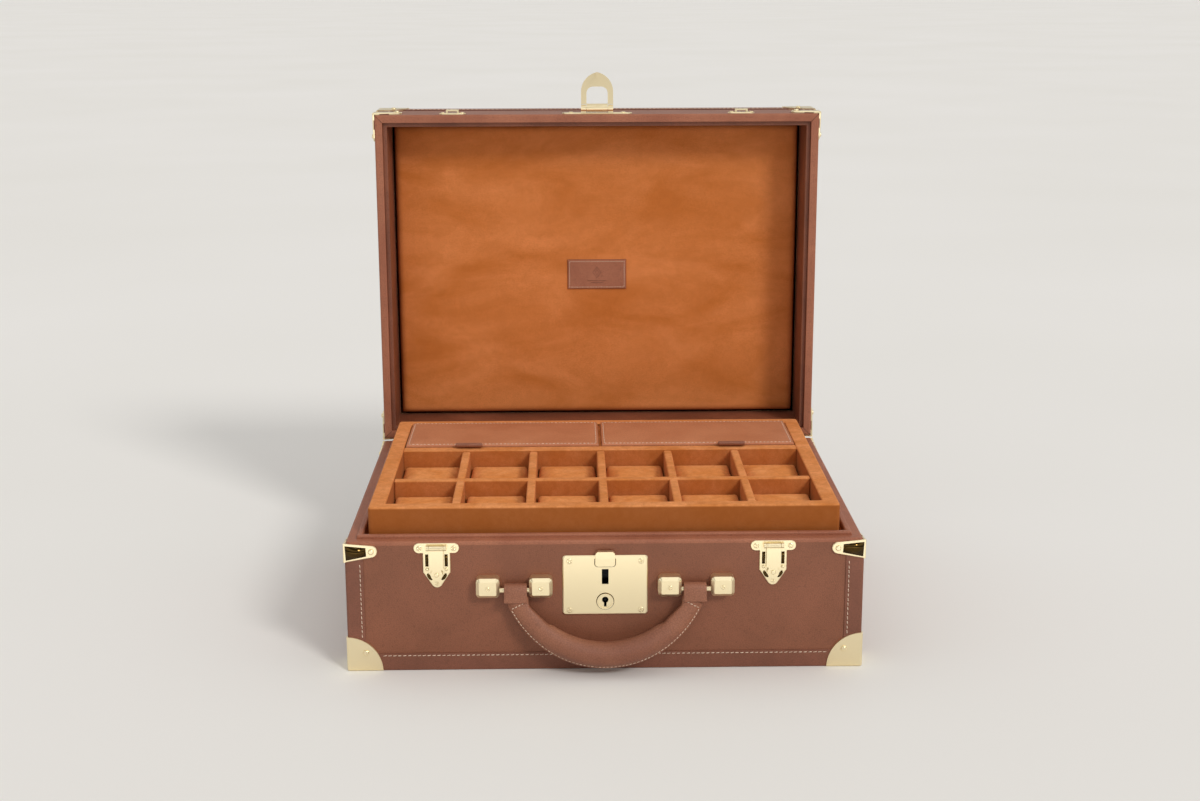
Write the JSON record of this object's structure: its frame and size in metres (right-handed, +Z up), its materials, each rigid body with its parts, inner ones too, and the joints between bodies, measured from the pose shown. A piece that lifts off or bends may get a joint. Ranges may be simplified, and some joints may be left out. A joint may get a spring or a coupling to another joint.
{
  "type": "jewellery case",
  "caption": "Rectangular leather-covered carrying case with a hinged lid, brass corners, latches and lock, a padded front handle and a lift-out suede tray with wells and flaps.",
  "frame": {"origin": "centre of the base's underside", "axes": "+Z up; the front with the lock faces -Y; +X to the right seen from the front"},
  "size_m": [0.4048, 0.389, 0.4417],
  "materials": {
    "brown_leather": "fine-grained, semi-matt",
    "suede": "napped suede over padding",
    "suede_cushion": "napped suede over foam",
    "suede_board": "board wrapped in suede",
    "plywood": "plain",
    "polished_brass": "polished and lacquered",
    "steel": "satin"
  },
  "bodies": {
    "base": {"base_bottom_leather": "brown_leather", "base_box": "plywood", "base_cap_nails": "polished_brass", "base_corner_caps": "polished_brass", "base_edge_bands": "brown_leather", "base_floor_pad": "suede", "base_lining": "suede", "base_lip": "brown_leather", "base_rim": "brown_leather", "base_rim_caps": "polished_brass", "base_screws": "polished_brass", "base_side_leather": "brown_leather", "handle_posts": "polished_brass", "handle_rods": "polished_brass", "hinge_base_leaves": "polished_brass", "hinge_pins": "polished_brass", "key_escutcheon": "polished_brass", "key_post": "steel", "latch_pins": "polished_brass", "latch_plates": "polished_brass", "lock_case": "steel", "lock_plate": "polished_brass", "lock_spring": "steel", "tray_ledges": "suede_board"},
    "lid": {"lid_box": "plywood", "lid_leather": "brown_leather", "lid_edge_bands": "brown_leather", "lid_rim": "brown_leather", "lid_lining": "brown_leather", "lid_panel": "suede", "lid_label": "brown_leather", "lid_corner_caps": "polished_brass", "lid_rim_caps": "polished_brass", "lid_cap_nails": "polished_brass", "latch_keepers": "polished_brass", "hasp_plate": "polished_brass", "hasp_pin": "polished_brass", "lid_screws": "polished_brass", "hinge_lid_leaves": "polished_brass"},
    "hasp": {"lid_hasp": "polished_brass"},
    "latch_left": {"latch_flap_left": "polished_brass"},
    "latch_right": {"latch_flap_right": "polished_brass"},
    "lock_slide": {"lock_slide": "polished_brass"},
    "lock_cam": {"lock_cam": "steel"},
    "handle": {"handle_grip": "brown_leather", "handle_loops": "brown_leather", "handle_core": "steel"},
    "tray": {"tray_frame": "suede_board", "tray_middle_divider": "suede_board", "tray_front_dividers": "suede_board", "tray_back_dividers": "suede_board", "tray_shelf": "suede_board", "tray_bay_divider": "suede_board", "well_cushions": "suede_cushion", "bay_pads": "suede_cushion"},
    "flap_left": {"flap_left": "brown_leather", "flap_pull_left": "brown_leather"},
    "flap_right": {"flap_right": "brown_leather", "flap_pull_right": "brown_leather"}
  },
  "joints": [
    {"name": "lid_hinge", "type": "hinge", "parent": "base", "child": "lid", "pos_m": [0, 0.1502, 0.1055], "axis": [-1, 0, 0], "range_deg": [-90, 0]},
    {"name": "hasp_hinge", "type": "hinge", "parent": "lid", "child": "hasp", "pos_m": [0, 0.1543, 0.4101], "axis": [-1, 0, 0], "range_deg": [-90, 80]},
    {"name": "latch_left_hinge", "type": "hinge", "parent": "base", "child": "latch_left", "pos_m": [-0.1295, -0.153, 0.1006], "axis": [-1, 0, 0], "range_deg": [0, 175]},
    {"name": "latch_right_hinge", "type": "hinge", "parent": "base", "child": "latch_right", "pos_m": [0.1295, -0.153, 0.1006], "axis": [-1, 0, 0], "range_deg": [0, 175]},
    {"name": "handle_hinge", "type": "hinge", "parent": "base", "child": "handle", "pos_m": [0, -0.155, 0.0671], "axis": [-1, 0, 0], "range_deg": [0, 150]},
    {"name": "lock_slide_travel", "type": "slide", "parent": "base", "child": "lock_slide", "axis": [0, 0, 1], "range_m": [0, 0.003], "stiffness_N_per_m": 300, "springref_m": -0.003, "deforming": ["lock_spring"]},
    {"name": "lock_cam_turn", "type": "hinge", "parent": "base", "child": "lock_cam", "pos_m": [0, -0.141, 0.0573], "axis": [0, 1, 0], "range_deg": [0, 90]},
    {"name": "tray_lift", "type": "slide", "parent": "base", "child": "tray", "axis": [0, 0, 1], "range_m": [0, 0.12]},
    {"name": "flap_left_hinge", "type": "hinge", "parent": "tray", "child": "flap_left", "pos_m": [-0.0859, 0.1194, 0.1293], "axis": [-1, 0, 0], "range_deg": [0, 100]},
    {"name": "flap_right_hinge", "type": "hinge", "parent": "tray", "child": "flap_right", "pos_m": [0.0859, 0.1194, 0.1293], "axis": [-1, 0, 0], "range_deg": [0, 100]}
  ]
}
